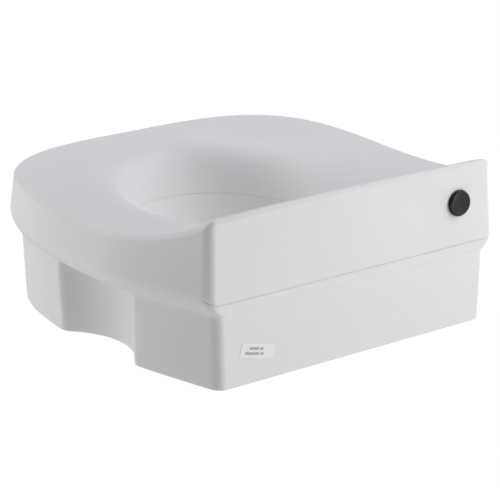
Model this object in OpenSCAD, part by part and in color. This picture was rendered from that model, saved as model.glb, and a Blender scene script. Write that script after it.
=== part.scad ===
/* [Seat body] */
// Width of the seat at its widest point
seat_w = 403.5; // [400:0.5:415]
// Depth of the seat from the front to the rear face
seat_d = 389.5; // [380:0.5:400]
// Width of the flat rear face
rear_w = 333; // [325:1:345]
// How far the widest point lies in front of the rear face
widest_back = 121; // [110:1:130]
// Squareness of the rounded front in plan
front_power = 3.75; // [3:0.05:4]
// Height of the seat's edge at its lowest point, beside the opening
edge_h = 125.3; // [123:0.1:130]
// Extra height of the edge at the front
front_rise = 6.5; // [0:0.5:8]
// Extra height of the raised rear panel
rear_rise = 39.2; // [30:0.1:45]
// Height of the lower skirt
skirt_h = 73.5; // [70:0.5:76]
// How far the skirt is set in under the flange at the sides and front
skirt_inset = 9.4; // [8:0.1:11]
// Wall thickness of the hollow body
wall = 4; // [3:0.5:4]

/* [Opening] */
// Half-width of the opening at its narrowest ring
throat_rx = 95; // [93:1:96]
// Half-length of the opening at its narrowest ring
throat_ry = 117; // [112:1:119]
// Height of the narrowest ring
throat_z = 76; // [70:1:80]

/* [Hand scoops] */
// Radius of the hand scoop in each side of the skirt
scoop_r = 76.3; // [70:0.1:85]
// Depth of the hand scoop
scoop_depth = 29.4; // [20:0.1:30]
// Distance of the scoop's middle in front of the rear face
scoop_back = 154.5; // [150:0.5:160]

/* [Rim clamps] */
// How far each clamp screw lies outside the opening
clamp_out = 28; // [27:1:29]
// Position of the clamp screws front to back
clamp_y = 10; // [5:1:14]
// Radius of the pocket that each clamp folds away in
pocket_r = 34; // [34:0.5:35]
// Height of the pocket's roof
pocket_h = 38; // [38:1:40]
// Diameter of the clamp screw
screw_d = 10; // [9:1:10]
// Diameter of the hand knob
knob_d = 34; // [30:1:34]

/* [Vent plug] */
// Diameter of the plug's cap
plug_d = 26; // [24:1:30]
// Sideways position of the plug on the rear panel
plug_x = -123; // [-130:1:-100]
// Height of the plug's centre
plug_z = 126.5; // [115:0.5:128]

/* [Label and pads] */
// Width of the label
label_w = 38; // [30:1:45]
// Height of the label
label_h = 13.5; // [10:0.5:20]
// How crooked the label sits, in degrees
label_turn = 14; // [0:1:20]
// Diameter of the rubber pads under the seat
pad_d = 24; // [20:1:28]
// How far the pads stand out below the body
pad_proud = 1; // [0.5:0.5:1.5]

/* [Hidden] */
$fn = 64;
scoop_fn = 96;
// Overlap of joined solids, and how far a cutting solid runs past a face
eps = 0.01;
cut = 1;
// Radial play of a running fit, and of screws and bolts in their holes
fit_gap = 0.05;
head_room = 0.2;

// Stations round half of the outline: rear face, corner, side, front
n_rear = 4;
n_corner = 4;
n_side = 5;
n_front = 13;
n_half = n_rear + n_corner + n_side + n_front;
n_round = 2 * n_half;

// Shape of the outside. The flange leans out by flange_draft, the skirt leans in by skirt_draft
base_z = pad_proud;
corner_across = 7.8;
corner_along = 13;
edge_r = 4.2;
base_r = 3;
flange_draft = 4.4;
skirt_draft = 2.1;
rear_skirt_inset = 1.5;
turn_power = 1.6;
flare_power = 2.2;
flare_steps = [1, 0.67, 0.33, 0];
flange_z_side = 94.5;
flange_z_rear = 85.4;
rear_top_z = edge_h + rear_rise;
panel_tilt = atan(flange_draft / (rear_top_z - flange_z_rear));
panel_crown = 2;

// Plug sizes. Its cap stands past the rear face, so the rear face is moved forward by half of that
plug_flange_t = 1.5;
plug_cap_t = 3;
plug_seal_t = 0.8;
plug_hole_r = 9;
plug_stem_l = 15;
plug_rim_w = 2.2;
plug_dome_in = 5;
plug_cap_r = plug_d / 2 - plug_rim_w;
plug_dome_r = plug_cap_r - plug_dome_in;
plug_out = plug_seal_t + plug_flange_t + plug_cap_t;
plug_setback = (plug_z - flange_z_rear) * tan(panel_tilt);
plug_overhang = max(0, plug_out * cos(panel_tilt) + plug_dome_r * sin(panel_tilt) - plug_setback);
y_rear = (seat_d - plug_overhang) / 2;
y_front = y_rear - seat_d;
y_widest = y_rear - widest_back;
// The sides taper a little even at the widest point, which takes taper_loss off each of them
taper_loss = 0.9;
half_w = seat_w / 2 + taper_loss;
half_rear_w = rear_w / 2;
throat_back = 197;
throat_y = y_rear - throat_back;
throat_draft = 5;
scoop_y = y_rear - scoop_back;

// The sides bend towards the rear face over about bend_w at bend_back, and are straight behind that
bend_back = 118;
bend_w = 25;
bend_y = y_rear - bend_back;
side_slope = (half_w - half_rear_w) * (bend(y_rear) - bend(y_rear - 1));
corner_end = atan(side_slope * corner_along / corner_across);

// Shape of the seating surface between the edge (0) and the throat (1)
dish_power = 5.2;
rear_fall_power = 2.2;
rear_rise_power = 2.9;
rear_rise_end = 0.88;
rise_back = 210;
low_back = 159;
low_y = y_rear - low_back;
front_rise_span = 0.8;
deck_steps = [0, 0.15, 0.35, 0.55, 0.7, 0.8, 0.88, 0.94, 0.98, 1];

// Hollow inside. It follows the outside one wall in, with a lower rise under the rear panel
inner_steps = [0, 0.35, 0.55, 0.7, 0.8, 0.88, 0.94, 1];
inner_edge_step = wall + 3;
inner_corner_up = 2;
inner_rise = 0.5;

// Hand scoop and clamp screws. The scoop stops short of the clamp pocket
clamp_x = throat_rx + clamp_out;
scoop_skirt_x = side_x(scoop_y, skirt_inset);
scoop_in = min(scoop_depth, scoop_skirt_x - clamp_x - pocket_r - wall);

// Screw guide, nut and the screws that fix the guide
guide_r = 9;
guide_flange_r = 18;
guide_flange_t = 5;
guide_top_z = 92;
guide_cap_t = 2;
guide_bottom_z = pocket_h - guide_flange_t;
guide_bore_r = screw_d / 2 + 0.5;
nut_r = 7.5;
nut_top_z = pocket_h + 9;
boss_r = 4.2;
boss_top_z = pocket_h + 12;
fix_angles = [30, 150, 270];
fix_ring_r = 13.6;
fix_r = 1.75;
fix_head_r = 3.5;
fix_head_t = 2.4;
fix_l = 12;
fix_hole_top_z = pocket_h + 10;
cross_l = 4;
cross_w = 1;

// Clamp screw and the pieces that it carries
screw_top_z = 88;
screw_point = 1;
knob_z = 14.2;
knob_t = 16.8;
knob_lobes = 6;
knob_hollow_r = 5;
washer_z = 12.2;
washer_t = 1.8;
arm_z = 6;
arm_t = 4;
arm_w = 16;
arm_l = 30;
hub_t = 6;
hub_r = 11;
hook_pad_in = 19;
hook_pad_w = 14;
hook_pad_t = 3.5;
retainer_r = 7.5;
retainer_t = 3.2;
retainer_stem_r = 2.5;
retainer_stem_l = 12;
retainer_z = arm_z - head_room - retainer_t;
socket_r = 3;
socket_t = 1.8;

// Pads and label
pad_t = 3;
pad_places = [[52, -150], [-52, -150], [100, 156], [-100, 156]];
label_t = 0.25;
label_x = 115;
label_z = 32;

function mix(a, b, t) = a + (b - a) * t;
function smooth(t) = t <= 0 ? 0 : t >= 1 ? 1 : t * t * (3 - 2 * t);
function ease(t) = pow(t, turn_power) / (pow(t, turn_power) + pow(1 - t, turn_power));

// 0 at the front, rising smoothly to a straight line that reaches 1 at the rear face
function bend(y) = ln(1 + exp((y - bend_y) / bend_w)) / ln(1 + exp(bend_back / bend_w));

// Half-width of the side at depth y, for an outline set in by inset
function side_x(y, inset) = half_w - inset - (half_w - half_rear_w) * bend(y);

// Where the corner arc ends and the side begins, for a rear face set in by inset
function corner_y(inset) = y_rear - inset - corner_along;
function corner_end_y(inset) = corner_y(inset) + corner_along * sin(corner_end);
function corner_x(side_in, rear_in) =
    side_x(corner_end_y(rear_in), side_in) - corner_across * cos(corner_end);

// Point h of the right half outline, with its side and rear set in
function rear_point(h, side_in, rear_in) = [corner_x(side_in, rear_in) * h / n_rear, y_rear - rear_in];
function arc_point(k, side_in, rear_in) =
    let (a = mix(90, corner_end, k / n_corner))
    [corner_x(side_in, rear_in) + corner_across * cos(a), corner_y(rear_in) + corner_along * sin(a)];
function side_point(k, side_in, rear_in) =
    let (y = mix(corner_end_y(rear_in), y_widest, k / n_side))
    [side_x(y, side_in), y];
function front_point(k, side_in) =
    let (
        a = 90 * ease(k / n_front),
        y = y_widest - (y_widest - y_front - side_in) * pow(sin(a), 2 / front_power)
    )
    [side_x(y, side_in) * pow(cos(a), 2 / front_power), y];
function half_point(h, side_in, rear_in) =
    h <= n_rear ? rear_point(h, side_in, rear_in) :
    h <= n_rear + n_corner ? arc_point(h - n_rear, side_in, rear_in) :
    h < n_half - n_front ? side_point(h - n_rear - n_corner, side_in, rear_in) :
    front_point(h - n_half + n_front, side_in);

// Point j of the whole outline, counted from the middle of the rear face
function half_index(j) = j <= n_half ? j : n_round - j;
function outline(j, side_in, rear_in) =
    let (p = half_point(half_index(j), side_in, rear_in))
    [j <= n_half ? p.x : -p.x, p.y];

// 1 on the rear face, 0 on the sides and front
function rearness(j) = max(0, min(1, 1 - (half_index(j) - n_rear) / n_corner));

// Height of the seat's edge without and with the rear panel
function low_edge_z(p) = edge_h + front_rise * smooth((low_y - p.y) / (low_y - y_front) / front_rise_span);
function rise_share(t) = 1 - pow(1 - pow(t, rear_rise_power), rear_rise_end);
function rise_z(p) =
    (rear_rise - panel_crown * pow(p.x / half_rear_w, 2))
    * rise_share(max(0, min(1, 1 - (y_rear - p.y) / rise_back)));
function edge_z(p) = low_edge_z(p) + rise_z(p);

// Point of the opening's ellipse, grown by grow, in the direction of point p
function throat_point(p, grow) =
    let (dx = p.x, dy = p.y - throat_y, k = norm([dx / (throat_rx + grow), dy / (throat_ry + grow)]))
    [dx / k, throat_y + dy / k];

// One ring of wall points: side and rear heights, side and rear insets
function wall_ring(z_side, z_rear, side_in, rear_in) = [
    for (j = [0 : n_round - 1])
    let (p = outline(j, side_in, rear_in))
    [p.x, p.y, mix(z_side, z_rear, rearness(j))]
];

// One ring of the rounded top edge: drop below the edge and step in from the flange's top
function edge_ring(drop, step, scale_rise) = [
    for (j = [0 : n_round - 1])
    let (
        e = outline(j, 0, 0),
        z = low_edge_z(e) + scale_rise * rise_z(e) - drop,
        lean = step > 0 ? flange_draft : (z - flange_z_rear) * tan(panel_tilt),
        side_lean = mix(flange_draft, lean, rearness(j)),
        p = outline(j, side_lean + step, lean + step)
    )
    [p.x, p.y, z]
];

// One ring of the seating surface, s of the way from the edge to the throat
function deck_ring(s, step, grow, drop, scale_rise) = [
    for (j = [0 : n_round - 1])
    let (
        e = outline(j, 0, 0),
        p = outline(j, flange_draft + step, flange_draft + step),
        q = throat_point(p, grow),
        low = throat_z - drop,
        z = low + (low_edge_z(e) - throat_z) * sqrt(max(0, 1 - pow(s, dish_power)))
            + scale_rise * rise_z(e) * pow(1 - s, rear_fall_power)
    )
    [mix(p.x, q.x, s), mix(p.y, q.y, s), z]
];

// One ring of the opening's wall
function throat_ring(z, grow) = [
    for (j = [0 : n_round - 1])
    let (q = throat_point(outline(j, 0, 0), grow))
    [q.x, q.y, z]
];

// Closed skin through rings that run up the outside, over the top and down the opening
module ring_skin(rings) {
    m = len(rings);
    polyhedron(
        points = [for (r = rings) each r],
        faces = [
            for (k = [0 : m - 1])
            for (j = [0 : n_round - 1])
            let (
                a = k * n_round + j,
                b = k * n_round + (j + 1) % n_round,
                c = ((k + 1) % m) * n_round + (j + 1) % n_round,
                d = ((k + 1) % m) * n_round + j
            )
            each [[a, b, c], [a, c, d]]
        ]
    );
}

module outer_skin() {
    // Drop and step of a point halfway round the rounded edge
    mid = edge_r * (1 - cos(45));
    ring_skin([
        wall_ring(base_z, base_z, skirt_inset + skirt_draft + base_r, rear_skirt_inset + base_r),
        wall_ring(base_z + base_r, base_z + base_r, skirt_inset + skirt_draft, rear_skirt_inset),
        for (u = flare_steps)
            wall_ring(
                mix(flange_z_side, skirt_h, u), mix(flange_z_rear, skirt_h, u),
                skirt_inset * pow(u, flare_power), rear_skirt_inset * pow(u, flare_power)
            ),
        edge_ring(edge_r, 0, 1),
        edge_ring(mid, mid, 1),
        for (s = deck_steps) deck_ring(s, edge_r, 0, 0, 1),
        throat_ring(base_z + base_r, throat_draft),
        throat_ring(base_z, throat_draft + base_r)
    ]);
}

// The hollow inside, about one wall thickness in from the skin
module inner_skin() {
    side_z = flange_z_side + inner_corner_up;
    rear_z = flange_z_rear + inner_corner_up;
    neck_z = skirt_h + inner_corner_up;
    ring_skin([
        wall_ring(base_z + wall, base_z + wall, skirt_inset + skirt_draft + wall, rear_skirt_inset + wall),
        wall_ring(neck_z, neck_z, skirt_inset + wall, rear_skirt_inset + wall),
        wall_ring(side_z, rear_z, wall, wall + 1),
        for (s = inner_steps) deck_ring(s, inner_edge_step, wall, wall, inner_rise),
        throat_ring(base_z + wall, throat_draft + wall)
    ]);
}

// Places its children at the clamp screw of one side: 1 is left, -1 is right
module at_clamp(side) {
    translate([side * clamp_x, clamp_y, 0]) children();
}

// Hand scoop in one side of the skirt, grown by grow
module scoop(side, grow) {
    translate([side * (scoop_skirt_x - scoop_in + scoop_r), scoop_y, -cut])
        cylinder(h = skirt_h + cut + grow, r = scoop_r + grow, $fn = scoop_fn);
}

// The three fixing places of one screw guide
module at_fixings(side) {
    at_clamp(side)
        for (a = fix_angles)
            rotate([0, 0, a])
                translate([fix_ring_r, 0, 0])
                    children();
}

// Turns local +Z to the outward normal of the leaning rear panel
module at_plug() {
    translate([plug_x, y_rear - plug_setback, plug_z])
        rotate([panel_tilt - 90, 0, 0])
            children();
}

// Round cutting solid from one cut below z0 up to z1
module round_cut(z0, z1, r) {
    translate([0, 0, z0 - cut]) cylinder(h = z1 - z0 + cut, r = r);
}

// Hollow moulded body: the outside less its inside, scoops, clamp pockets and holes
module seat_body() {
    color("white")
        difference() {
            outer_skin();
            difference() {
                inner_skin();
                for (side = [1, -1]) {
                    scoop(side, wall);
                    at_clamp(side) round_cut(0, pocket_h + wall, pocket_r + wall);
                    at_fixings(side) round_cut(0, boss_top_z, boss_r);
                }
            }
            for (side = [1, -1]) {
                scoop(side, 0);
                at_clamp(side) round_cut(0, pocket_h, pocket_r);
                at_clamp(side) round_cut(pocket_h, pocket_h + wall + cut, guide_r + head_room);
                at_fixings(side) round_cut(pocket_h, fix_hole_top_z, fix_r);
            }
            at_plug() round_cut(-plug_stem_l, cut, plug_hole_r);
            for (p = pad_places) translate([p.x, p.y, 0]) round_cut(0, pad_t, pad_d / 2 + head_room);
        }
}

// Thin printed label on the rear of the skirt
module serial_label() {
    color("gainsboro")
        translate([label_x, y_rear - rear_skirt_inset, label_z])
            rotate([0, -label_turn, 0])
                translate([-label_w / 2, 0, -label_h / 2])
                    cube([label_w, label_t, label_h]);
}

// Black plug with a domed cap and a grooved stem
module vent_plug() {
    cap_r = plug_cap_r;
    z0 = plug_seal_t;
    z1 = z0 + plug_flange_t;
    z2 = z1 + plug_cap_t;
    stem_r = plug_hole_r - fit_gap;
    lead_in = [2, 3];
    groove = 0.7;
    groove_z = -6.5;
    bevel = 0.4;
    shoulder = [1.2, 1.4];
    dome_h = 0.3;
    color("dimgray")
        at_plug()
            rotate_extrude()
                polygon([
                    [0, -plug_stem_l], [stem_r - lead_in.x, -plug_stem_l], [stem_r, lead_in.y - plug_stem_l],
                    [stem_r, groove_z - 2 * groove], [stem_r - groove, groove_z - groove],
                    [stem_r - groove, groove_z + groove], [stem_r, groove_z + 2 * groove],
                    [stem_r, z0], [plug_d / 2, z0], [plug_d / 2, z1 - bevel], [plug_d / 2 - bevel, z1],
                    [cap_r, z1], [cap_r, z2 - shoulder.y], [cap_r - shoulder.x, z2 - dome_h],
                    [plug_dome_r, z2], [0, z2]
                ]);
}

// Rubber washer between the plug's flange and the panel
module vent_plug_seal() {
    color("black")
        at_plug()
            difference() {
                cylinder(h = plug_seal_t, r = plug_d / 2 - 1);
                round_cut(0, plug_seal_t + cut, plug_hole_r);
            }
}

// Round rubber pad let into the underside
module rim_pad(place) {
    color("dimgray")
        translate([place.x, place.y, 0])
            cylinder(h = pad_t, r = pad_d / 2);
}

// Pan-head screws that hold both screw guides under the pocket roofs
module guide_screws() {
    color("silver")
        for (side = [1, -1])
            at_fixings(side)
                translate([0, 0, guide_bottom_z + head_room])
                    union() {
                        difference() {
                            cylinder(h = fix_head_t, r = fix_head_r);
                            for (a = [0, 90])
                                rotate([0, 0, a])
                                    translate([-cross_l / 2, -cross_w / 2, -eps])
                                        cube([cross_l, cross_w, cross_w]);
                        }
                        translate([0, 0, fix_head_t - eps]) cylinder(h = fix_l - fix_head_t, r = fix_r);
                    }
}

// Flanged sleeve with a closed top that the clamp screw climbs into
module screw_guide(side) {
    head_top_z = guide_bottom_z + fix_head_t + 2 * head_room;
    color("gray")
        difference() {
            at_clamp(side)
                union() {
                    translate([0, 0, guide_bottom_z]) cylinder(h = guide_flange_t, r = guide_flange_r);
                    translate([0, 0, guide_bottom_z]) cylinder(h = guide_top_z - guide_bottom_z, r = guide_r);
                }
            at_clamp(side) round_cut(guide_bottom_z, nut_top_z, nut_r);
            at_clamp(side) round_cut(guide_bottom_z, guide_top_z - guide_cap_t, guide_bore_r);
            at_fixings(side) round_cut(guide_bottom_z, pocket_h + cut, fix_r);
            at_fixings(side) round_cut(guide_bottom_z, head_top_z, fix_head_r + head_room);
        }
}

// Brass nut pressed into the screw guide
module clamp_nut(side) {
    bottom_z = guide_bottom_z + head_room;
    color("goldenrod")
        at_clamp(side)
            difference() {
                translate([0, 0, bottom_z]) cylinder(h = nut_top_z - bottom_z, r = nut_r);
                round_cut(bottom_z, nut_top_z + cut, screw_d / 2 + fit_gap);
            }
}

module clamp_screw(side) {
    shank_top_z = screw_top_z - screw_point;
    color("silver")
        at_clamp(side)
            difference() {
                union() {
                    translate([0, 0, arm_z]) cylinder(h = shank_top_z - arm_z, r = screw_d / 2);
                    translate([0, 0, shank_top_z])
                        cylinder(h = screw_point, r1 = screw_d / 2, r2 = screw_d / 2 - screw_point);
                }
                round_cut(arm_z, arm_z + retainer_stem_l, retainer_stem_r + fit_gap);
            }
}

// Knob with finger hollows, fixed on the clamp screw
module clamp_knob(side) {
    color("dimgray")
        at_clamp(side)
            difference() {
                translate([0, 0, knob_z]) cylinder(h = knob_t, r = knob_d / 2);
                for (k = [0 : knob_lobes - 1])
                    rotate([0, 0, k * 360 / knob_lobes])
                        translate([(knob_d + knob_hollow_r) / 2, 0, 0])
                            round_cut(knob_z, knob_z + knob_t + cut, knob_hollow_r);
                round_cut(knob_z, knob_z + knob_t + cut, screw_d / 2 + eps);
            }
}

module thrust_washer(side) {
    color("ivory")
        at_clamp(side)
            difference() {
                translate([0, 0, washer_z]) cylinder(h = washer_t, r = hub_r - 1);
                round_cut(washer_z, washer_z + washer_t + cut, screw_d / 2 + fit_gap);
            }
}

// Swivelling arm that hooks under the bowl's rim, stored pointing to the front
module hook_arm(side) {
    color("lightgray")
        at_clamp(side)
            difference() {
                union() {
                    translate([0, 0, arm_z]) cylinder(h = hub_t, r = hub_r);
                    translate([-arm_w / 2, -arm_l, arm_z]) cube([arm_w, arm_l, arm_t]);
                }
                round_cut(arm_z, arm_z + hub_t + cut, screw_d / 2 + fit_gap);
            }
}

// Rubber facing on the end of the arm
module hook_pad(side) {
    color("black")
        at_clamp(side)
            translate([-hook_pad_w / 2, -arm_l, arm_z + arm_t])
                cube([hook_pad_w, arm_l - hook_pad_in, hook_pad_t]);
}

// Socket screw in the end of the clamp screw that keeps the arm on
module retaining_screw(side) {
    color("silver")
        at_clamp(side)
            difference() {
                union() {
                    translate([0, 0, retainer_z]) cylinder(h = retainer_t, r = retainer_r);
                    translate([0, 0, retainer_z + retainer_t - eps])
                        cylinder(h = retainer_stem_l, r = retainer_stem_r);
                }
                translate([0, 0, retainer_z - cut]) cylinder(h = socket_t + cut, r = socket_r, $fn = 6);
            }
}

seat_body();
serial_label();
vent_plug();
vent_plug_seal();
rim_pad(pad_places[0]);  // rim_pad_front_left
rim_pad(pad_places[1]);  // rim_pad_front_right
rim_pad(pad_places[2]);  // rim_pad_rear_left
rim_pad(pad_places[3]);  // rim_pad_rear_right
guide_screws();
screw_guide(1);  // screw_guide_left
clamp_nut(1);  // clamp_nut_left
clamp_screw(1);  // clamp_screw_left
clamp_knob(1);  // clamp_knob_left
thrust_washer(1);  // thrust_washer_left
hook_arm(1);  // hook_arm_left
hook_pad(1);  // hook_pad_left
retaining_screw(1);  // retaining_screw_left
screw_guide(-1);  // screw_guide_right
clamp_nut(-1);  // clamp_nut_right
clamp_screw(-1);  // clamp_screw_right
clamp_knob(-1);  // clamp_knob_right
thrust_washer(-1);  // thrust_washer_right
hook_arm(-1);  // hook_arm_right
hook_pad(-1);  // hook_pad_right
retaining_screw(-1);  // retaining_screw_right
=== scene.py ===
"""A raised toilet seat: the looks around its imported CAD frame. Lengths are in metres.

+X is the seated person's left, +Y the raised rear panel and +Z up, as in the frame.
"""

import math

import bmesh
import bpy
import numpy as np
from mathutils import Matrix, Vector


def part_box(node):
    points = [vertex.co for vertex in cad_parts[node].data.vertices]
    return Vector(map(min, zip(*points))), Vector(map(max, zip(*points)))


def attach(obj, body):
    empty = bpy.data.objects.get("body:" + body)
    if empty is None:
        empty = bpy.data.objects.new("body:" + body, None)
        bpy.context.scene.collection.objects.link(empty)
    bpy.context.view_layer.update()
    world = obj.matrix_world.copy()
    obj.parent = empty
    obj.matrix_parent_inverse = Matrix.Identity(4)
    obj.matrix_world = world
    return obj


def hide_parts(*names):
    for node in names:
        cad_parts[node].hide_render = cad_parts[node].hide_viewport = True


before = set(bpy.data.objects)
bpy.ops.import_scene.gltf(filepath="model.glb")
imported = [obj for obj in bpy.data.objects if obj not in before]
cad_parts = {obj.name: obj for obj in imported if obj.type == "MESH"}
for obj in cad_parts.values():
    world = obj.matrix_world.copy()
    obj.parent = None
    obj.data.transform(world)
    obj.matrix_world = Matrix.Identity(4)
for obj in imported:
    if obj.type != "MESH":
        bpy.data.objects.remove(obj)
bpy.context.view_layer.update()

# ---------------------------------------------------------------- measures from the frame

body_lo, body_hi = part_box("seat_body")
# The taper of the sides takes this much off the front's half-width at its widest place
TAPER_LOSS = 0.0009
HALF_W = body_hi.x + TAPER_LOSS
Y_REAR = body_hi.y
Y_FRONT = body_lo.y
BASE_Z = body_lo.z
REAR_TOP_Z = body_hi.z

# ---------------------------------------------------------------- shape of the body

HALF_REAR_W = 0.1688
WIDEST_BACK = 0.121
FRONT_POWER = 3.73
TURN_POWER = 1.6
BEND_BACK = 0.118
BEND_W = 0.025
CORNER_X = 0.011
CORNER_Y = 0.013
EDGE_H = 0.1253
FRONT_RISE = 0.0065
FRONT_RISE_SPAN = 0.8
REAR_RISE = REAR_TOP_Z - EDGE_H
PANEL_CROWN = 0.002
RISE_BACK = 0.21
RISE_POWER = 2.9
RISE_END = 0.88
SHELF = 0.06
LOW_BACK = 0.159
EDGE_R = 0.0042
EDGE_SHAPE = 1.4
# A low ridge along the rear panel's rim, at this angle round the rim's curve, in degrees
BEAD = 0.00045
BEAD_AT = 60
BEAD_SPREAD = 6
FLARE_POWER = 2.2
FLANGE_DRAFT = 0.0044
FLANGE_Z_SIDE = 0.0945
FLANGE_Z_REAR = 0.0854
SKIRT_H = 0.0735
SKIRT_IN = 0.0094
SKIRT_DRAFT = 0.0021
REAR_SKIRT_IN = 0.0015
CREASE = 0.0019
BAND_IN = 0.0004
BASE_R = 0.003
THROAT_RX = 0.095
THROAT_RY = 0.117
THROAT_BACK = 0.197
THROAT_Z = 0.076
THROAT_DRAFT = 0.005
PARTING_STEP = 0.0005
# The fine groove of the mould's parting line in the opening: (drop, depth)
PARTING_GROOVE = ((0.0001, 0.0007), (0.0004, 0.0010), (0.0008, 0.0010), (0.0010, PARTING_STEP))
DISH_POWER = 5.2
FALL_POWER = 2.2
SCOOP_R = 0.0763
SCOOP_WALL_X = 0.1622
SCOOP_BACK = 0.1545
SCOOP_SOFT = 0.006
SCOOP_LIP = 0.0016
SCOOP_FADE = 0.004
# Share of the way from the flange to the skirt where the hand scoop's ceiling meets the flare
CEILING_TOP = 0.955
# Shares of the same way at which the flare has its rings, close together round the crease
FLARE_STEPS = (0.93, 0.9, 0.86, 0.78, 0.66, 0.54, 0.42, 0.3, 0.22, 0.18, 0.14, 0.10, 0.07)
CREASE_STEPS = (0.045, 0.033, 0.02, 0.01, 0.0)
# How far the rear panel's rise and the edge's height spread sideways over the seating surface
RISE_BLUR = 0.055
EDGE_BLUR = 0.03
DECK_RINGS = 40

# ---------------------------------------------------------------- clamps, plug, label and pads

CLAMP_X = 0.123
CLAMP_Y = 0.010
POCKET_R = 0.034
POCKET_H = 0.038
POCKET_LIP = 0.002
POCKET_FILLET = 0.003
GUIDE_HOLE_R = 0.0092
GUIDE_HOLE_TOP = 0.0924
FIX_RING_R = 0.0136
FIX_ANGLES = (30, 150, 270)
FIX_HOLE_R = 0.00175
FIX_HOLE_H = 0.010
PLUG_X = -0.123
PLUG_Z = 0.1265
VENT_HOLE_R = 0.009
VENT_WALL = 0.004
VENT_ROOM_R = 0.018
VENT_ROOM_DEPTH = 0.024
LABEL_X = 0.115
LABEL_Z = 0.032
LABEL_SIZE = (0.038, 0.0135)
LABEL_TURN = 14
LABEL_R = 0.0014
LABEL_T = 0.00025
# The label's rows of strokes: height above its middle, where the row starts, and the width of
# each pair of strokes, with 0 for a gap between words
PAIR = 0.0013
STROKE_ROWS = (
    (0.0021, 0.0096, (PAIR,) * 6 + (0,) + (PAIR,) * 2),
    (-0.0027, 0.0138, (PAIR,) * 9 + (0,) + (PAIR,) * 2),
)
STROKE_PARTS = ((0.0, 0.34), (0.66, 1.0))
STROKE_HALF_H = 0.0013
STROKE_SINK = 0.00005
STROKE_PROUD = 0.00004
STROKE_GAP = 0.00055
WORD_GAP = 0.0007
PAD_PLACES = ((0.052, -0.150), (-0.052, -0.150), (0.100, 0.156), (-0.100, 0.156))
PAD_HOLE_R = 0.0122
PAD_HOLE_H = 0.003
SIDES = (("left", 1), ("right", -1))
SCREW_R = 0.005
SCREW_Z0 = 0.006
SCREW_Z1 = 0.088
SCREW_BORE_R = 0.00255
SCREW_BORE_H = 0.012
THREAD_LEAD = 0.006
THREAD_DEPTH = 0.0009
THREAD_START = 0.026
THREAD_RUN_IN = 0.003
THREAD_RUN_OUT = 0.0015
KNOB_R = 0.017
KNOB_Z0 = 0.0142
KNOB_Z1 = 0.031
KNOB_BORE_R = 0.00501
KNOB_RIM = 0.002
KNOB_HOLLOWS = 6
HOLLOW_R = 0.005
HOLLOW_AT = 0.0195
HOLLOW_SOFT = 0.0016
# How far a cutter reaches past the face that it cuts
OVERSHOOT = 0.002

# ---------------------------------------------------------------- places worked out from these

Y_WIDEST = Y_REAR - WIDEST_BACK
BEND_Y = Y_REAR - BEND_BACK
LOW_Y = Y_REAR - LOW_BACK
THROAT_Y = Y_REAR - THROAT_BACK
SCOOP_Y = Y_REAR - SCOOP_BACK

# ---------------------------------------------------------------- curves of the body


def mix(a, b, t):
    return a + (b - a) * t


def smooth(t):
    t = np.clip(t, 0, 1)
    return t * t * (3 - 2 * t)


def ease(t):
    """0 to 1 with slow ends, which keeps the front's points apart where it turns."""
    return t**TURN_POWER / (t**TURN_POWER + (1 - t) ** TURN_POWER)


def bend(y):
    """0 at the front, rising smoothly to a straight line and 1 at the rear face."""
    ramp = np.log1p(np.exp((y - BEND_Y) / BEND_W))
    return ramp / math.log1p(math.exp(BEND_BACK / BEND_W))


def side_x(y, inset):
    """Half-width of the side at depth y."""
    return HALF_W - inset - (HALF_W - HALF_REAR_W) * bend(y)


SIDE_SLOPE = (HALF_W - HALF_REAR_W) * (bend(Y_REAR) - bend(Y_REAR - 0.001)) / 0.001
CORNER_END = math.atan(SIDE_SLOPE * CORNER_Y / CORNER_X)


def half_outline(u, side_in=0.0, rear_in=0.0):
    """Plan points of the left half: u 0-1 rear face, 1-2 corner, 2-3 side, 3-4 front."""
    u, side_in, rear_in = np.broadcast_arrays(u, side_in, rear_in)
    arc_y = Y_REAR - rear_in - CORNER_Y
    end_y = arc_y + CORNER_Y * math.sin(CORNER_END)
    arc_x = side_x(end_y, side_in) - CORNER_X * math.cos(CORNER_END)
    angle = mix(math.pi / 2, CORNER_END, np.clip(u - 1, 0, 1))
    y_side = mix(end_y, Y_WIDEST, np.clip(u - 2, 0, 1))
    turn = ease(np.clip(u - 3, 0, 1)) * math.pi / 2
    across = np.clip(np.cos(turn), 0, 1) ** (2 / FRONT_POWER)
    along = np.sin(turn) ** (2 / FRONT_POWER)
    y_front = Y_WIDEST - (Y_WIDEST - Y_FRONT - side_in) * along
    x = np.select(
        [u <= 1, u <= 2, u <= 3],
        [arc_x * u, arc_x + CORNER_X * np.cos(angle), side_x(y_side, side_in)],
        (HALF_W - side_in) * across - (HALF_W - HALF_REAR_W) * bend(y_front) * across,
    )
    y = np.select(
        [u <= 1, u <= 2, u <= 3],
        [Y_REAR - rear_in, arc_y + CORNER_Y * np.sin(angle), y_side],
        y_front,
    )
    return np.stack([x, y], 1)


def scoop_x(y, inset=0.0):
    """Inner wall of the hand scoop at depth y, and far outside where there is no scoop."""
    reach = SCOOP_R**2 - (y - SCOOP_Y) ** 2
    wall_x = SCOOP_WALL_X + SCOOP_R - np.sqrt(np.maximum(reach, 0))
    return np.where(reach > 0, wall_x - inset, 9.0)


def soft_min(a, b, k):
    """The lower of a and b with a rounded corner where they cross."""
    h = np.maximum(k - np.abs(a - b), 0) / k
    return np.minimum(a, b) - h * h * k / 4


def bitten(points, inset=0.0):
    """The skirt's outline with the hand scoop taken out."""
    out = points.copy()
    out[:, 0] = soft_min(points[:, 0], scoop_x(points[:, 1], inset), SCOOP_SOFT)
    return out


# One radian of turning draws as many stations as this length of outline
METRES_PER_RADIAN = 0.010


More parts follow.
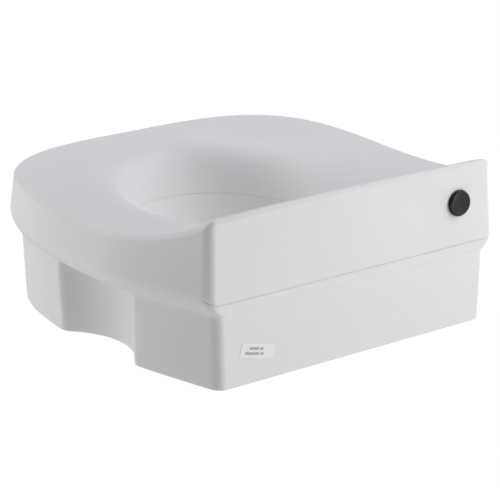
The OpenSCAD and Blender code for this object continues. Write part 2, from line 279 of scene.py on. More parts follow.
def spread_stations(count):
    """Values of u, close together where the outline or the scoop's edge turns."""
    fine = np.linspace(0, 4, 16001)
    cost = np.zeros(len(fine) - 1)
    for p in (half_outline(fine), bitten(half_outline(fine, SKIRT_IN, REAR_SKIRT_IN))):
        step = np.diff(p, axis=0)
        length = np.hypot(*step.T)
        heading = np.unwrap(np.arctan2(step[:, 1], step[:, 0]))
        turn = np.abs(np.gradient(heading))
        cost += length + METRES_PER_RADIAN * turn
    total = np.concatenate([[0], np.cumsum(cost)])
    return np.interp(np.linspace(0, total[-1], count), total, fine)


HALF_COUNT = 300
STATIONS = spread_stations(HALF_COUNT + 1)
# 1 on the rear face, falling round the corner to 0 on the side
REARNESS = np.clip(2 - STATIONS, 0, 1)


def mirrored(half):
    """Both halves as one closed ring."""
    other = half[-2:0:-1].copy()
    other[:, 0] *= -1
    return np.concatenate([half, other])


def rise_share(y):
    """How much of the rear panel's rise the edge has reached at depth y."""
    t = np.clip(1 - (Y_REAR - y) / RISE_BACK, 0, 1)
    return 1 - (1 - t**RISE_POWER) ** RISE_END


def shelf(s):
    """s with a flat start, for the shelf along the top of the rear panel."""
    return (s - SHELF * (1 - math.exp(-s / SHELF))) / (1 - SHELF * (1 - math.exp(-1 / SHELF)))


EDGE_XY = half_outline(STATIONS)
FRONTNESS = (LOW_Y - EDGE_XY[:, 1]) / (LOW_Y - Y_FRONT)
LOW_EDGE_Z = EDGE_H + FRONT_RISE * smooth(FRONTNESS / FRONT_RISE_SPAN)
PANEL_RISE = REAR_RISE - PANEL_CROWN * (EDGE_XY[:, 0] / HALF_REAR_W) ** 2
RISE_Z = PANEL_RISE * rise_share(EDGE_XY[:, 1])
EDGE_Z = LOW_EDGE_Z + RISE_Z
TILT_REAR = FLANGE_DRAFT / (REAR_TOP_Z - FLANGE_Z_REAR)


def throat_xy(p, grow=0.0):
    """Points of the opening's ellipse in the direction of points p."""
    d = p - [0, THROAT_Y]
    k = np.hypot(d[:, 0] / (THROAT_RX + grow), d[:, 1] / (THROAT_RY + grow))
    return [0, THROAT_Y] + d / k[:, None]


def ring(xy, z):
    return mirrored(np.column_stack([xy, np.broadcast_to(z, len(xy))]))


def wall_xy(side_in, rear_in, bite=False, inset=0.0):
    xy = half_outline(STATIONS, side_in, rear_in)
    return bitten(xy, inset) if bite else xy


def skirt_rings():
    """From the rounded bottom edge up to just under the flange."""
    rings = []
    for a in np.linspace(0, math.pi / 2, 7):
        inset = BASE_R * (1 - math.sin(a))
        xy = wall_xy(SKIRT_IN + SKIRT_DRAFT + inset, REAR_SKIRT_IN + inset, True, inset)
        rings.append(ring(xy, BASE_Z + BASE_R * (1 - math.cos(a))))
    for t in np.linspace(0, 1, 8)[1:]:
        xy = wall_xy(SKIRT_IN + SKIRT_DRAFT * (1 - t), REAR_SKIRT_IN, True)
        rings.append(ring(xy, mix(BASE_Z + BASE_R, SKIRT_H - SCOOP_LIP, t)))
    return rings


def flare_profile(u):
    """Insets and heights under the flange: u is 0 at the flange and 1 at the skirt."""
    side_in = SKIRT_IN * u**FLARE_POWER
    side_z = mix(FLANGE_Z_SIDE, SKIRT_H, u)
    # On the rear face, a crease under the panel, then a flat band, then a second line
    crease = CREASE * smooth(u / 0.045) - (CREASE - BAND_IN) * smooth((u - 0.06) / 0.16)
    rear_in = crease + (REAR_SKIRT_IN - BAND_IN) * smooth((u - 0.9) / 0.1)
    rear_z = mix(FLANGE_Z_REAR, SKIRT_H, u)
    return side_in, side_z, rear_in, rear_z


def ceiling_rings():
    """Over the top of the hand scoop, and round the inside corner elsewhere."""
    low = wall_xy(SKIRT_IN, REAR_SKIRT_IN, True)
    full = wall_xy(SKIRT_IN, REAR_SKIRT_IN)
    side_in, side_z, rear_in, rear_z = flare_profile(CEILING_TOP)
    high = wall_xy(side_in, rear_in)
    z_low = SKIRT_H - SCOOP_LIP
    z_high = mix(side_z, rear_z, REARNESS)
    depth = np.clip((full[:, 0] - low[:, 0]) / SCOOP_FADE, 0, 1)
    rings = []
    for q in (0.08, 0.18, 0.32, 0.5, 0.68, 0.82, 0.92, 1.0):
        plain = mix(mix(z_low, SKIRT_H, q), mix(SKIRT_H, z_high, q), q)
        ceiling = SKIRT_H - (SKIRT_H - z_low) * np.maximum(0, 1 - q / 0.25) ** 2
        ceiling = ceiling + (z_high - SKIRT_H) * max(0.0, (q - 0.8) / 0.2) ** 2
        rings.append(ring(mix(low, high, smooth(q) * 0.6 + q * 0.4), mix(plain, ceiling, depth)))
    return rings


def flange_rings():
    """The flare, the leaning flange and its rounded top edge."""
    rings = []
    for u in FLARE_STEPS + CREASE_STEPS:
        side_in, side_z, rear_in, rear_z = flare_profile(u)
        rings.append(ring(wall_xy(side_in, rear_in), mix(side_z, rear_z, REARNESS)))
    low_z = mix(FLANGE_Z_SIDE, FLANGE_Z_REAR, REARNESS)
    lean = mix(FLANGE_DRAFT / (EDGE_Z - low_z), TILT_REAR, REARNESS)
    for t in np.linspace(0, 1, 10)[1:]:
        z = mix(low_z, EDGE_Z - EDGE_R, t)
        inset = lean * (z - low_z)
        rings.append(ring(wall_xy(inset, inset), z))
    top_in = lean * (EDGE_Z - EDGE_R - low_z)
    # 1 is a round edge and more is a flatter one. The rear corners are round
    shape = EDGE_SHAPE - (EDGE_SHAPE - 1) * np.sin(math.pi * REARNESS)
    for a in np.linspace(0, math.pi / 2, 25)[1:]:
        across, along = 1 - max(0.0, math.cos(a)) ** shape, math.sin(a) ** shape
        bead = BEAD * math.exp(-(((math.degrees(a) - BEAD_AT) / BEAD_SPREAD) ** 2)) * REARNESS
        inset = top_in + EDGE_R * across + lean * EDGE_R * along - bead * math.cos(a)
        rings.append(ring(wall_xy(inset, inset), EDGE_Z - EDGE_R * (1 - along) + bead * math.sin(a)))
    return rings, top_in + EDGE_R + lean * EDGE_R


def blurred(values, xy, width):
    """Values smoothed along the closed outline by a bell of the given width in metres."""
    closed = mirrored(np.column_stack([xy, values]))
    step = np.hypot(*np.diff(np.vstack([closed[:, :2], closed[:1, :2]]), axis=0).T)
    where = np.concatenate([[0], np.cumsum(step)[:-1]])
    total = step.sum()
    weight = (step + np.roll(step, 1)) / 2
    out = np.empty(len(values))
    for i in range(len(values)):
        gap = np.abs(where - where[i])
        gap = np.minimum(gap, total - gap)
        bell = weight * np.exp(-0.5 * (gap / width) ** 2)
        out[i] = (bell * closed[:, 2]).sum() / bell.sum()
    return out


def deck_rings(inset):
    """The seating surface, from the rounded edge down to the narrowest ring."""
    start = wall_xy(inset, inset)
    end = throat_xy(start)
    rings = []
    for k in np.linspace(0, 1, DECK_RINGS + 1)[1:]:
        # Rings are close together at the edge and at the narrowest ring
        s = mix(k**1.7, 1 - (1 - k) ** 1.9, smooth(k * 1.4))
        rise = blurred(RISE_Z, EDGE_XY, RISE_BLUR * s**0.8)
        base = blurred(LOW_EDGE_Z, EDGE_XY, EDGE_BLUR * s)
        fall = math.sqrt(max(0.0, 1 - s**DISH_POWER))
        z = THROAT_Z + (base - THROAT_Z) * fall + rise * (1 - shelf(s)) ** FALL_POWER
        rings.append(ring(mix(start, end, s), z))
    return rings


def throat_rings():
    """The opening's wall below the parting line, and its rounded bottom edge."""
    rings = []
    for drop, grow in PARTING_GROOVE:
        rings.append(ring(throat_xy(EDGE_XY, grow), THROAT_Z - drop))
    wall_top = THROAT_Z - PARTING_GROOVE[-1][0]
    for t in np.linspace(0, 1, 9)[1:]:
        grow = mix(PARTING_STEP, THROAT_DRAFT, t)
        rings.append(ring(throat_xy(EDGE_XY, grow), mix(wall_top, BASE_Z + BASE_R, t)))
    for a in np.linspace(0, math.pi / 2, 7)[1:]:
        grow = THROAT_DRAFT + BASE_R * (1 - math.cos(a))
        rings.append(ring(throat_xy(EDGE_XY, grow), BASE_Z + BASE_R * (1 - math.sin(a))))
    return rings


# ---------------------------------------------------------------- mesh helpers


def new_object(name, mesh):
    obj = bpy.data.objects.new(name, mesh)
    bpy.context.scene.collection.objects.link(obj)
    return obj


def grid_mesh(name, rings):
    """A closed skin through rings that close on themselves and on each other."""
    points = np.concatenate(rings)
    count, around = len(rings), len(rings[0])
    faces = []
    for k in range(count):
        low, high = k * around, ((k + 1) % count) * around
        for j in range(around):
            n = (j + 1) % around
            faces.append((low + j, high + j, high + n, low + n))
    mesh = bpy.data.meshes.new(name)
    mesh.from_pydata(points.tolist(), [], faces)
    mesh.update()
    return mesh


def lathe(name, profile, segments=96):
    """A closed solid of revolution about Z. The profile runs from the axis back to the axis."""
    bm = bmesh.new()
    rows = []
    for r, z in profile:
        if r < 1e-7:
            rows.append([bm.verts.new((0, 0, z))])
            continue
        turn = [2 * math.pi * k / segments for k in range(segments)]
        rows.append([bm.verts.new((r * math.cos(a), r * math.sin(a), z)) for a in turn])
    for low, high in zip(rows, rows[1:]):
        for j in range(segments):
            n = (j + 1) % segments
            if len(low) == 1 and len(high) == 1:
                continue
            if len(low) == 1:
                bm.faces.new((low[0], high[n], high[j]))
            elif len(high) == 1:
                bm.faces.new((low[j], low[n], high[0]))
            else:
                bm.faces.new((low[j], low[n], high[n], high[j]))
    bmesh.ops.recalc_face_normals(bm, faces=bm.faces)
    mesh = bpy.data.meshes.new(name)
    bm.to_mesh(mesh)
    bm.free()
    return mesh


def shade(obj, sharp_deg=35.0):
    """Smooth shading with hard edges only where faces meet at more than sharp_deg."""
    bm = bmesh.new()
    bm.from_mesh(obj.data)
    limit = math.radians(sharp_deg)
    for f in bm.faces:
        f.smooth = True
    for e in bm.edges:
        e.smooth = len(e.link_faces) == 2 and e.calc_face_angle(0.0) < limit
    bm.to_mesh(obj.data)
    bm.free()


def apply_modifiers(obj):
    dg = bpy.context.evaluated_depsgraph_get()
    mesh = bpy.data.meshes.new_from_object(obj.evaluated_get(dg))
    old = obj.data
    obj.modifiers.clear()
    obj.data = mesh
    bpy.data.meshes.remove(old)


def cut_with(obj, cutters):
    for c in cutters:
        mod = obj.modifiers.new("cut", "BOOLEAN")
        mod.operation = "DIFFERENCE"
        mod.solver = "EXACT"
        mod.object = c
    bpy.context.view_layer.update()
    apply_modifiers(obj)
    for c in cutters:
        mesh = c.data
        bpy.data.objects.remove(c)
        bpy.data.meshes.remove(mesh)


# ---------------------------------------------------------------- materials


class Nodes:
    """Short names for building a Principled material."""

    def __init__(self, name):
        self.mat = bpy.data.materials.new(name)
        self.mat.use_nodes = True
        self.tree = self.mat.node_tree
        self.shader = self.tree.nodes["Principled BSDF"]
        self.coord = self.tree.nodes.new("ShaderNodeTexCoord").outputs["Object"]

    def add(self, kind, **values):
        node = self.tree.nodes.new(kind)
        for key, value in values.items():
            setattr(node, key, value)
        return node

    def link(self, a, b):
        self.tree.links.new(a, b)

    def noise(self, scale, detail=2.0, rough=0.5, stretch=None):
        node = self.add("ShaderNodeTexNoise")
        node.inputs["Scale"].default_value = scale
        node.inputs["Detail"].default_value = detail
        node.inputs["Roughness"].default_value = rough
        if stretch:
            mapping = self.add("ShaderNodeMapping")
            mapping.inputs["Scale"].default_value = stretch
            self.link(self.coord, mapping.inputs["Vector"])
            self.link(mapping.outputs["Vector"], node.inputs["Vector"])
        else:
            self.link(self.coord, node.inputs["Vector"])
        return node.outputs["Fac"]

    def ramp(self, value, stops):
        node = self.add("ShaderNodeValToRGB")
        ramp = node.color_ramp
        while len(ramp.elements) < len(stops):
            ramp.elements.new(0.5)
        for element, (pos, colour) in zip(ramp.elements, stops):
            element.position = pos
            element.color = (*colour, 1) if len(colour) == 3 else colour
        self.link(value, node.inputs["Fac"])
        return node.outputs["Color"]

    def range(self, value, low, high, out_low, out_high):
        node = self.add("ShaderNodeMapRange")
        node.inputs["From Min"].default_value = low
        node.inputs["From Max"].default_value = high
        node.inputs["To Min"].default_value = out_low
        node.inputs["To Max"].default_value = out_high
        self.link(value, node.inputs["Value"])
        return node.outputs["Result"]

    def bump(self, height, strength, distance, under=None):
        node = self.add("ShaderNodeBump")
        node.inputs["Strength"].default_value = strength
        node.inputs["Distance"].default_value = distance
        self.link(height, node.inputs["Height"])
        if under:
            self.link(under, node.inputs["Normal"])
        self.link(node.outputs["Normal"], self.shader.inputs["Normal"])
        return node.outputs["Normal"]

    def colour(self, socket):
        self.link(socket, self.shader.inputs["Base Color"])

    def rough(self, socket):
        self.link(socket, self.shader.inputs["Roughness"])

    def set(self, **values):
        for key, value in values.items():
            self.shader.inputs[key.replace("_", " ")].default_value = value


def white_plastic():
    m = Nodes("white_plastic")
    cloud = m.noise(9.0, 3.0, 0.55)
    m.colour(m.ramp(cloud, [(0.3, (0.80, 0.803, 0.81)), (0.7, (0.825, 0.828, 0.835))]))
    m.rough(m.range(m.noise(60.0, 3.0), 0.3, 0.7, 0.40, 0.50))
    waves = m.bump(m.noise(28.0, 1.0), 0.10, 0.0012)
    m.bump(m.noise(1500.0, 2.0), 0.12, 0.0001, waves)
    m.set(IOR=1.5, Specular_IOR_Level=0.42)
    return m.mat


def black_rubber():
    m = Nodes("black_rubber")
    cloud = m.noise(160.0, 3.0)
    m.colour(m.ramp(cloud, [(0.3, (0.011, 0.0115, 0.0125)), (0.7, (0.021, 0.0215, 0.023))]))
    m.rough(m.range(m.noise(500.0, 2.0), 0.3, 0.7, 0.36, 0.52))
    m.bump(m.noise(2600.0, 2.0), 0.25, 0.0001)
    m.set(IOR=1.5, Specular_IOR_Level=0.3)
    return m.mat


def label_paper():
    m = Nodes("label_paper")
    m.colour(m.ramp(m.noise(900.0, 3.0), [(0.3, (0.87, 0.87, 0.87)), (0.7, (0.90, 0.90, 0.90))]))
    m.rough(m.range(m.noise(300.0, 2.0), 0.3, 0.7, 0.30, 0.42))
    m.bump(m.noise(1800.0, 2.0), 0.15, 0.00005)
    m.set(IOR=1.5)
    return m.mat


def print_ink():
    m = Nodes("print_ink")
    m.colour(m.ramp(m.noise(2500.0, 2.0), [(0.3, (0.09, 0.09, 0.09)), (0.7, (0.14, 0.14, 0.14))]))
    m.rough(m.range(m.noise(900.0, 2.0), 0.3, 0.7, 0.40, 0.55))
    return m.mat


def plain_finish(name, low, high, scale, rough, bump, metallic=0.0, stretch=None):
    """Two colours mixed by noise, uneven roughness and a fine bump (scale, strength, height)."""
    m = Nodes(name)
    m.colour(m.ramp(m.noise(scale, 4.0, 0.6, stretch), [(0.32, low), (0.68, high)]))
    m.rough(m.range(m.noise(scale * 0.7, 3.0, 0.5, stretch), 0.3, 0.7, *rough))
    m.bump(m.noise(scale * bump[0], 3.0, 0.55, stretch), bump[1], bump[2])
    m.set(Metallic=metallic)
    return m.mat


def turned_finish(name, low, high, scale, rough):
    """Bare metal with fine rings across its Z axis."""
    return plain_finish(name, low, high, scale, rough, (8, 0.2, 0.00006), 1.0, (1, 1, 22))


def finish_frame_nodes():
    """Procedural finishes for the CAD nodes that show as they are."""
    made = {
        "black_rubber": plain_finish(
            "seal_rubber", (0.02, 0.02, 0.021), (0.034, 0.034, 0.036), 220, (0.45, 0.6), (9, 0.3, 0.0001)
        ),
        "pad_rubber": plain_finish(
            "pad_rubber", (0.055, 0.055, 0.058), (0.095, 0.095, 0.10), 180, (0.65, 0.85), (10, 0.5, 0.00015)
        ),
        "grey_plastic": plain_finish(
            "grey_plastic", (0.24, 0.245, 0.25), (0.29, 0.295, 0.30), 70, (0.38, 0.5), (25, 0.25, 0.0001)
        ),
        "knob_plastic": plain_finish(
            "knob_plastic", (0.012, 0.012, 0.013), (0.024, 0.024, 0.026), 120, (0.42, 0.58),
            (12, 0.5, 0.00015),
        ),
        "nylon": plain_finish(
            "nylon", (0.55, 0.52, 0.43), (0.63, 0.60, 0.51), 60, (0.35, 0.48), (20, 0.2, 0.0001)
        ),
        "coated_steel": plain_finish(
            "coated_steel", (0.44, 0.45, 0.46), (0.50, 0.51, 0.52), 50, (0.30, 0.42), (16, 0.35, 0.0002)
        ),
        "steel": turned_finish("zinc_steel", (0.50, 0.50, 0.49), (0.66, 0.66, 0.64), 130, (0.22, 0.38)),
        "brass": turned_finish("turned_brass", (0.55, 0.38, 0.14), (0.68, 0.49, 0.20), 110, (0.18, 0.32)),
    }
    nodes = {"vent_plug_seal": "black_rubber", "guide_screws": "steel"}
    for end in ("front", "rear"):
        for side, _ in SIDES:
            nodes[f"rim_pad_{end}_{side}"] = "pad_rubber"
    kinds = {"screw_guide": "grey_plastic", "clamp_nut": "brass", "thrust_washer": "nylon"}
    kinds.update({"hook_pad": "black_rubber", "retaining_screw": "steel", "hook_arm": "coated_steel"})
    kinds.update({"clamp_screw": "steel", "clamp_knob": "knob_plastic"})
    for side, _ in SIDES:
        for kind, slot in kinds.items():
            nodes[f"{kind}_{side}"] = slot
    for node, slot in nodes.items():
        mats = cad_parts[node].data.materials
        mats.clear()
        mats.append(made[slot])


# ---------------------------------------------------------------- the body


def plug_matrix():
    """Local +Z is the outward normal of the leaning rear panel, at the plug's centre."""
    tilt = math.atan(TILT_REAR)
    y = Y_REAR - (PLUG_Z - FLANGE_Z_REAR) * TILT_REAR
    return Matrix.Translation((PLUG_X, y, PLUG_Z)) @ Matrix.Rotation(tilt - math.pi / 2, 4, "X")


def cutter(name, parts):
    """One cutting object out of (profile, matrix) pairs that don't touch each other."""
    bm = bmesh.new()
    for profile, matrix in parts:
        mesh = lathe(name, profile)
        mesh.transform(matrix)
        bm.from_mesh(mesh)
        bpy.data.meshes.remove(mesh)
    mesh = bpy.data.meshes.new(name)
    bm.to_mesh(mesh)
    bm.free()
    return new_object(name, mesh)


def body_cutters():
    """Clamp pockets with bores for the screw guides, pad recesses, plug hole, fixing holes."""
    below = -0.01
    lip = POCKET_LIP
    turn = [math.radians(a) for a in (90, 72, 54, 36, 18, 0)]
    mouth = [(POCKET_R + lip * (1 - math.cos(a)), BASE_Z + lip * (1 - math.sin(a))) for a in turn]
    pocket = [(0, below), (POCKET_R + lip, below)] + mouth
    # The pocket's roof meets its wall in a fillet of one slanting step on each side of its middle
    middle = 0.3 * POCKET_FILLET
    pocket += [(POCKET_R, POCKET_H - POCKET_FILLET), (POCKET_R - middle, POCKET_H - middle)]
    pocket += [(POCKET_R - POCKET_FILLET, POCKET_H), (GUIDE_HOLE_R, POCKET_H)]
    pocket += [(GUIDE_HOLE_R, GUIDE_HOLE_TOP), (0, GUIDE_HOLE_TOP)]
    recess = [(0, below), (PAD_HOLE_R, below), (PAD_HOLE_R, PAD_HOLE_H), (0, PAD_HOLE_H)]
    # The vent hole opens into a wider room behind the panel's wall
    hole = [(0, -VENT_ROOM_DEPTH), (VENT_ROOM_R, -VENT_ROOM_DEPTH), (VENT_ROOM_R, -VENT_WALL)]
    hole += [(VENT_HOLE_R, -VENT_WALL), (VENT_HOLE_R, VENT_WALL), (0, VENT_WALL)]
    low, high = POCKET_H - 2 * OVERSHOOT, POCKET_H + FIX_HOLE_H
    fixing = [(0, low), (FIX_HOLE_R, low), (FIX_HOLE_R, high), (0, high)]
    big = [(pocket, Matrix.Translation((side * CLAMP_X, CLAMP_Y, 0))) for _, side in SIDES]
    big += [(recess, Matrix.Translation((x, y, 0))) for x, y in PAD_PLACES]
    big += [(hole, plug_matrix())]
    small = []
    for _, side in SIDES:
        for a in FIX_ANGLES:
            x = side * CLAMP_X + FIX_RING_R * math.cos(math.radians(a))
            y = CLAMP_Y + FIX_RING_R * math.sin(math.radians(a))
            small.append((fixing, Matrix.Translation((x, y, 0))))
    return [cutter("big_cuts", big), cutter("small_cuts", small)]


def make_body():
    flange, top_in = flange_rings()
    rings = skirt_rings() + ceiling_rings() + flange + deck_rings(top_in) + throat_rings()
    body = new_object("seat_shell", grid_mesh("seat_shell", rings))
    cut_with(body, body_cutters())
    shade(body)
    body.data.materials.append(white_plastic())
    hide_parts("seat_body")
    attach(body, "seat")
    return body


def make_plug():
    """The vent plug, with a leaning flank, a raised rim and a grooved stem."""
    # The plug's half section in millimetres: radius, height above the panel
    mm = [(0, -15), (6.95, -15), (8.6, -12.6), (8.95, -12), (8.95, -7.9), (8.25, -7.2), (8.25, -5.8)]
    mm += [(8.95, -5.1), (8.95, 0.8), (12.7, 0.8), (12.95, 0.95), (13.0, 1.2), (12.9, 1.9)]
    mm += [(12.3, 3.4), (12.0, 3.9), (11.6, 4.2), (11.1, 4.35), (10.6, 4.3), (10.1, 4.1)]
    mm += [(9.5, 3.9), (8.7, 3.85), (0, 3.95)]
    plug = new_object("plug_cap", lathe("plug_cap", [(r / 1000, z / 1000) for r, z in mm], 128))
    plug.matrix_world = plug_matrix()
    shade(plug, 28)
    plug.data.materials.append(black_rubber())
    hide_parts("vent_plug")
    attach(plug, "plug")


def column(name, radius, levels, around=72):
    """A closed column about Z. radius(angle, z) gives its surface at each of the levels."""
    bm = bmesh.new()
    rows = []
    for z in levels:
        row = []
        for k in range(around):
            a = 2 * math.pi * k / around
            r = radius(a, z)
            row.append(bm.verts.new((r * math.cos(a), r * math.sin(a), z)))
        rows.append(row)
    for low, high in zip(rows, rows[1:]):
        for j in range(around):
            n = (j + 1) % around
            bm.faces.new((low[j], low[n], high[n], high[j]))
    bm.faces.new(rows[0][::-1])
    bm.faces.new(rows[-1])
    bmesh.ops.recalc_face_normals(bm, faces=bm.faces)
    mesh = bpy.data.meshes.new(name)
    bm.to_mesh(mesh)
    bm.free()
    return mesh


def thread_radius(angle, z):
    """A right-hand trapezoidal thread, running out into plain ends."""
    phase = (z / THREAD_LEAD - angle / (2 * math.pi)) % 1.0
    crest = min(1.0, max(0.0, (abs(phase - 0.5) - 0.16) / 0.14))
    run_in = (z - SCREW_Z0 - THREAD_START) / THREAD_RUN_IN
    run_out = (SCREW_Z1 - THREAD_RUN_OUT - z) / THREAD_RUN_OUT
    return SCREW_R - THREAD_DEPTH * (1 - crest) * min(1.0, max(0.0, run_in), max(0.0, run_out))


def knob_radius(angle, z):
    """Six finger hollows in a round knob with rolled rims."""
    step = 2 * math.pi / KNOB_HOLLOWS
    off = (angle + step / 2) % step - step / 2
    reach = HOLLOW_R**2 - (HOLLOW_AT * math.sin(off)) ** 2
    r = KNOB_R
    if reach > 0:
        r = float(soft_min(r, HOLLOW_AT * math.cos(off) - math.sqrt(reach), HOLLOW_SOFT))
    rim = min(z - KNOB_Z0, KNOB_Z1 - z) / KNOB_RIM
    if rim < 1:
        r -= KNOB_RIM * (1 - math.sqrt(max(0.0, 1 - (1 - rim) ** 2)))
    return r


def bored(name, mesh, bore_r, bore_z0, bore_z1):
    """An object with a blind or through bore up its axis."""
    obj = new_object(name, mesh)
    bore = [(0, bore_z0), (bore_r, bore_z0), (bore_r, bore_z1), (0, bore_z1)]
    cut_with(obj, [cutter("bore", [(bore, Matrix())])])
    return obj


def make_clamps():
    """Threaded screws and rolled knobs for both clamps."""
    rims = [0, 0.0002, 0.0005, 0.0009, 0.0014, KNOB_RIM]
    knob_levels = [KNOB_Z0 + r for r in rims] + [KNOB_Z1 - r for r in rims[::-1]]
    screw_levels = np.linspace(SCREW_Z0, SCREW_Z1, 240)
    for name, side in SIDES:
        screw = column("screw_" + name, thread_radius, screw_levels)
        bore_top = SCREW_Z0 + SCREW_BORE_H
        screw = bored("screw_" + name, screw, SCREW_BORE_R, SCREW_Z0 - OVERSHOOT, bore_top)
        knob = column("knob_" + name, knob_radius, knob_levels, 144)
        knob = bored("knob_" + name, knob, KNOB_BORE_R, KNOB_Z0 - OVERSHOOT, KNOB_Z1 + OVERSHOOT)
        for obj, node, finish, slot in (
            (screw, "clamp_screw_", "zinc_steel", "steel"),
            (knob, "clamp_knob_", "knob_plastic", "knob_plastic"),
        ):
            obj.matrix_world = Matrix.Translation((side * CLAMP_X, CLAMP_Y, 0))
            shade(obj, 40)
            obj.data.materials.clear()
            obj.data.materials.append(bpy.data.materials[finish])
            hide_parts(node + name)
            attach(obj, "clamp_spindle_" + name)


def slab(name, outline, z0, z1):
    """A flat plate with the given outline, from z0 to z1."""
    bm = bmesh.new()
    count = len(outline)
    low, high = ([bm.verts.new((x, y, z)) for x, y in outline] for z in (z0, z1))
    for j in range(count):
        n = (j + 1) % count
        bm.faces.new((low[j], low[n], high[n], high[j]))
    bm.faces.new(low[::-1])
    bm.faces.new(high)
    bmesh.ops.recalc_face_normals(bm, faces=bm.faces)
    mesh = bpy.data.meshes.new(name)
    bm.to_mesh(mesh)
    bm.free()
    return mesh


def rounded_rect(w, h, r, steps=6):
    points = []
    for cx, cy, start in ((1, 1, 0), (-1, 1, 90), (-1, -1, 180), (1, -1, 270)):
        for k in range(steps + 1):
            a = math.radians(start + 90 * k / steps)
            points.append((cx * (w / 2 - r) + r * math.cos(a), cy * (h / 2 - r) + r * math.sin(a)))
    return points


def stroke(x0, x1, y):
    """One upright stroke of the label's print, sunk a little into the sheet."""
    y0, y1 = y - STROKE_HALF_H, y + STROKE_HALF_H
    outline = [(x0, y0), (x1, y0), (x1, y1), (x0, y1)]
    return slab("bar", outline, LABEL_T - STROKE_SINK, LABEL_T + STROKE_PROUD)


def make_label():
    """A small crooked sticker. Two rows of plain strokes stand for its print."""
    w, h = LABEL_SIZE
    turn = Matrix.Rotation(math.radians(-LABEL_TURN), 4, "Y")
    place = Matrix.Translation((LABEL_X, Y_REAR - REAR_SKIRT_IN, LABEL_Z)) @ turn
    # Local X runs towards +X and local Y towards +Z of the seat, and local Z points out of the rear
    flat = place @ Matrix(((1, 0, 0, 0), (0, 0, 1, 0), (0, 1, 0, 0), (0, 0, 0, 1)))
    label = new_object("label_sheet", slab("label_sheet", rounded_rect(w, h, LABEL_R), 0, LABEL_T))
    label.matrix_world = flat
    shade(label, 30)
    label.data.materials.append(label_paper())
    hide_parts("serial_label")
    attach(label, "seat")
    bm = bmesh.new()
    for y, x, widths in STROKE_ROWS:
        for width in widths:
            for start, end in STROKE_PARTS if width else ():
                bar = stroke(x - width * end, x - width * start, y)
                bm.from_mesh(bar)
                bpy.data.meshes.remove(bar)
            x -= max(width, WORD_GAP) + STROKE_GAP
    mesh = bpy.data.meshes.new("label_bars")
    bm.to_mesh(mesh)
    bm.free()
    bars = new_object("label_bars", mesh)
    bars.matrix_world = flat
    bars.data.materials.append(print_ink())
    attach(bars, "seat")


# ---------------------------------------------------------------- stage, light and camera


FLOOR_HALF = 6.0
LIGHT_HEIGHT = 0.09
LIGHT_REACH = 1.7
TOP_LIGHT_REACH = 1.6
# Directions with a Z below GLOW_LOW get the whole glow, and those above GLOW_HIGH get none
GLOW_LOW = -0.1
GLOW_HIGH = 0.04
GLOW_STRENGTH = 0.523
CAMERA_AZIMUTH = 36.4
CAMERA_ELEVATION = 19.05
CAMERA_DISTANCE = 2.065
CAMERA_LENS = 150.2
CAMERA_AIM = (0, 0.0152, 0.0756)
CAMERA_RIGHT = 0.0053
CAMERA_DOWN = 0.0191


def make_floor():
    """A pale floor that the camera sees and that neither lights nor shades the seat."""
    mesh = bpy.data.meshes.new("floor")
    corners = [(x * FLOOR_HALF, y * FLOOR_HALF, 0) for x, y in ((-1, -1), (1, -1), (1, 1), (-1, 1))]
    mesh.from_pydata(corners, [], [(0, 1, 2, 3)])
    floor = new_object("floor", mesh)
    m = Nodes("floor_white")
    m.set(Base_Color=(0.10, 0.10, 0.10, 1), Roughness=1.0, Specular_IOR_Level=0.0)
    m.set(Emission_Color=(1, 1, 1, 1), Emission_Strength=0.95)
    mesh.materials.append(m.mat)
    floor.visible_diffuse = False
    floor.visible_glossy = False
    floor.visible_transmission = False
    floor.visible_shadow = False


def direction(azimuth, elevation):
    """The unit vector at an azimuth, counted from +Y towards +X, and an elevation, in degrees."""
    turn, rise = math.radians(azimuth), math.radians(elevation)
    return Vector((math.sin(turn) * math.cos(rise), math.cos(turn) * math.cos(rise), math.sin(rise)))


def area_light(name, azimuth, elevation, size, power, colour):
    """A soft box aimed at the seat."""
    light = bpy.data.lights.new(name, "AREA")
    light.shape = "RECTANGLE"
    light.size, light.size_y = size
    light.energy = power
    light.color = colour
    obj = bpy.data.objects.new(name, light)
    way = direction(azimuth, elevation)
    reach = TOP_LIGHT_REACH if elevation > 60 else LIGHT_REACH
    obj.location = Vector((0, 0, LIGHT_HEIGHT)) + way * reach
    obj.rotation_mode = "QUATERNION"
    obj.rotation_quaternion = way.to_track_quat("Z", "Y")
    bpy.context.scene.collection.objects.link(obj)


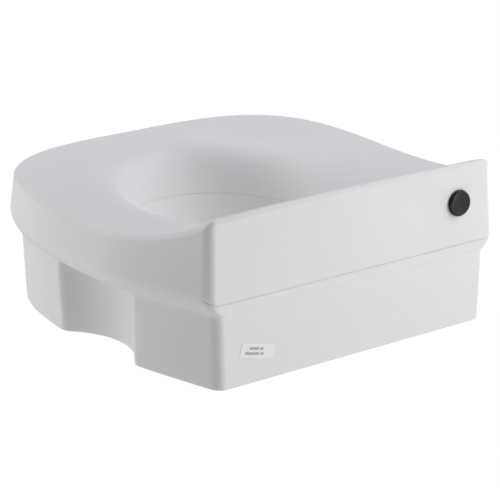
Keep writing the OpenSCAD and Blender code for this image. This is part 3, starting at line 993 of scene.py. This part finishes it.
def make_lights():
    """Soft boxes all round, and a pale glow from below in place of a white floor's bounce."""
    wide, low = (1.2, 1.0), (1.4, 1.0)
    area_light("side", 120, 12, wide, 10.1, (1.0, 0.996, 0.988))
    area_light("front_right", 210, 12, wide, 1.8, (0.843, 0.87, 1.0))
    area_light("right", 270, 12, wide, 5.4, (0.989, 0.988, 1.0))
    area_light("back_low", 330, 12, wide, 7.4, (0.984, 0.98, 1.0))
    area_light("front_high", 145, 42, wide, 6.5, (0.992, 0.99, 1.0))
    area_light("back_high", 315, 42, wide, 12.7, (0.992, 0.989, 1.0))
    area_light("under_back", 0, -25, low, 5.7, (0.997, 0.988, 1.0))
    area_light("under_front", 145, -25, low, 2.3, (1.0, 0.994, 0.979))
    area_light("under_right", 270, -25, low, 13.5, (1.0, 1.0, 1.0))
    area_light("top", 180, 70, (1.2, 1.2), 7.7, (0.961, 0.963, 1.0))
    world = bpy.data.worlds.new("studio")
    world.use_nodes = True
    tree = world.node_tree
    back = tree.nodes["Background"]
    way = tree.nodes.new("ShaderNodeTexCoord").outputs["Generated"]
    split = tree.nodes.new("ShaderNodeSeparateXYZ")
    tree.links.new(way, split.inputs[0])
    glow = tree.nodes.new("ShaderNodeMapRange")
    glow.inputs["From Min"].default_value = GLOW_LOW
    glow.inputs["From Max"].default_value = GLOW_HIGH
    glow.inputs["To Min"].default_value = GLOW_STRENGTH
    glow.inputs["To Max"].default_value = 0.0
    tree.links.new(split.outputs["Z"], glow.inputs["Value"])
    tree.links.new(glow.outputs["Result"], back.inputs["Strength"])
    back.inputs["Color"].default_value = (1.0, 0.993, 0.983, 1)
    bpy.context.scene.world = world


def make_camera():
    """The view is from behind, above and to the seated person's left."""
    azimuth = math.radians(CAMERA_AZIMUTH)
    back = direction(CAMERA_AZIMUTH, CAMERA_ELEVATION)
    right = Vector((-math.cos(azimuth), math.sin(azimuth), 0))
    up = back.cross(right)
    data = bpy.data.cameras.new("camera")
    data.lens = CAMERA_LENS
    data.sensor_width = 36.0
    data.clip_start, data.clip_end = 0.05, 50
    cam = bpy.data.objects.new("camera", data)
    cam.location = Vector(CAMERA_AIM) + back * CAMERA_DISTANCE + right * CAMERA_RIGHT - up * CAMERA_DOWN
    cam.rotation_mode = "QUATERNION"
    cam.rotation_quaternion = (-back).to_track_quat("-Z", "Y")
    bpy.context.scene.collection.objects.link(cam)
    bpy.context.scene.camera = cam


bpy.context.scene.view_settings.view_transform = "Standard"
make_camera()
make_floor()
make_lights()
make_body()
make_plug()
make_label()
finish_frame_nodes()
make_clamps()
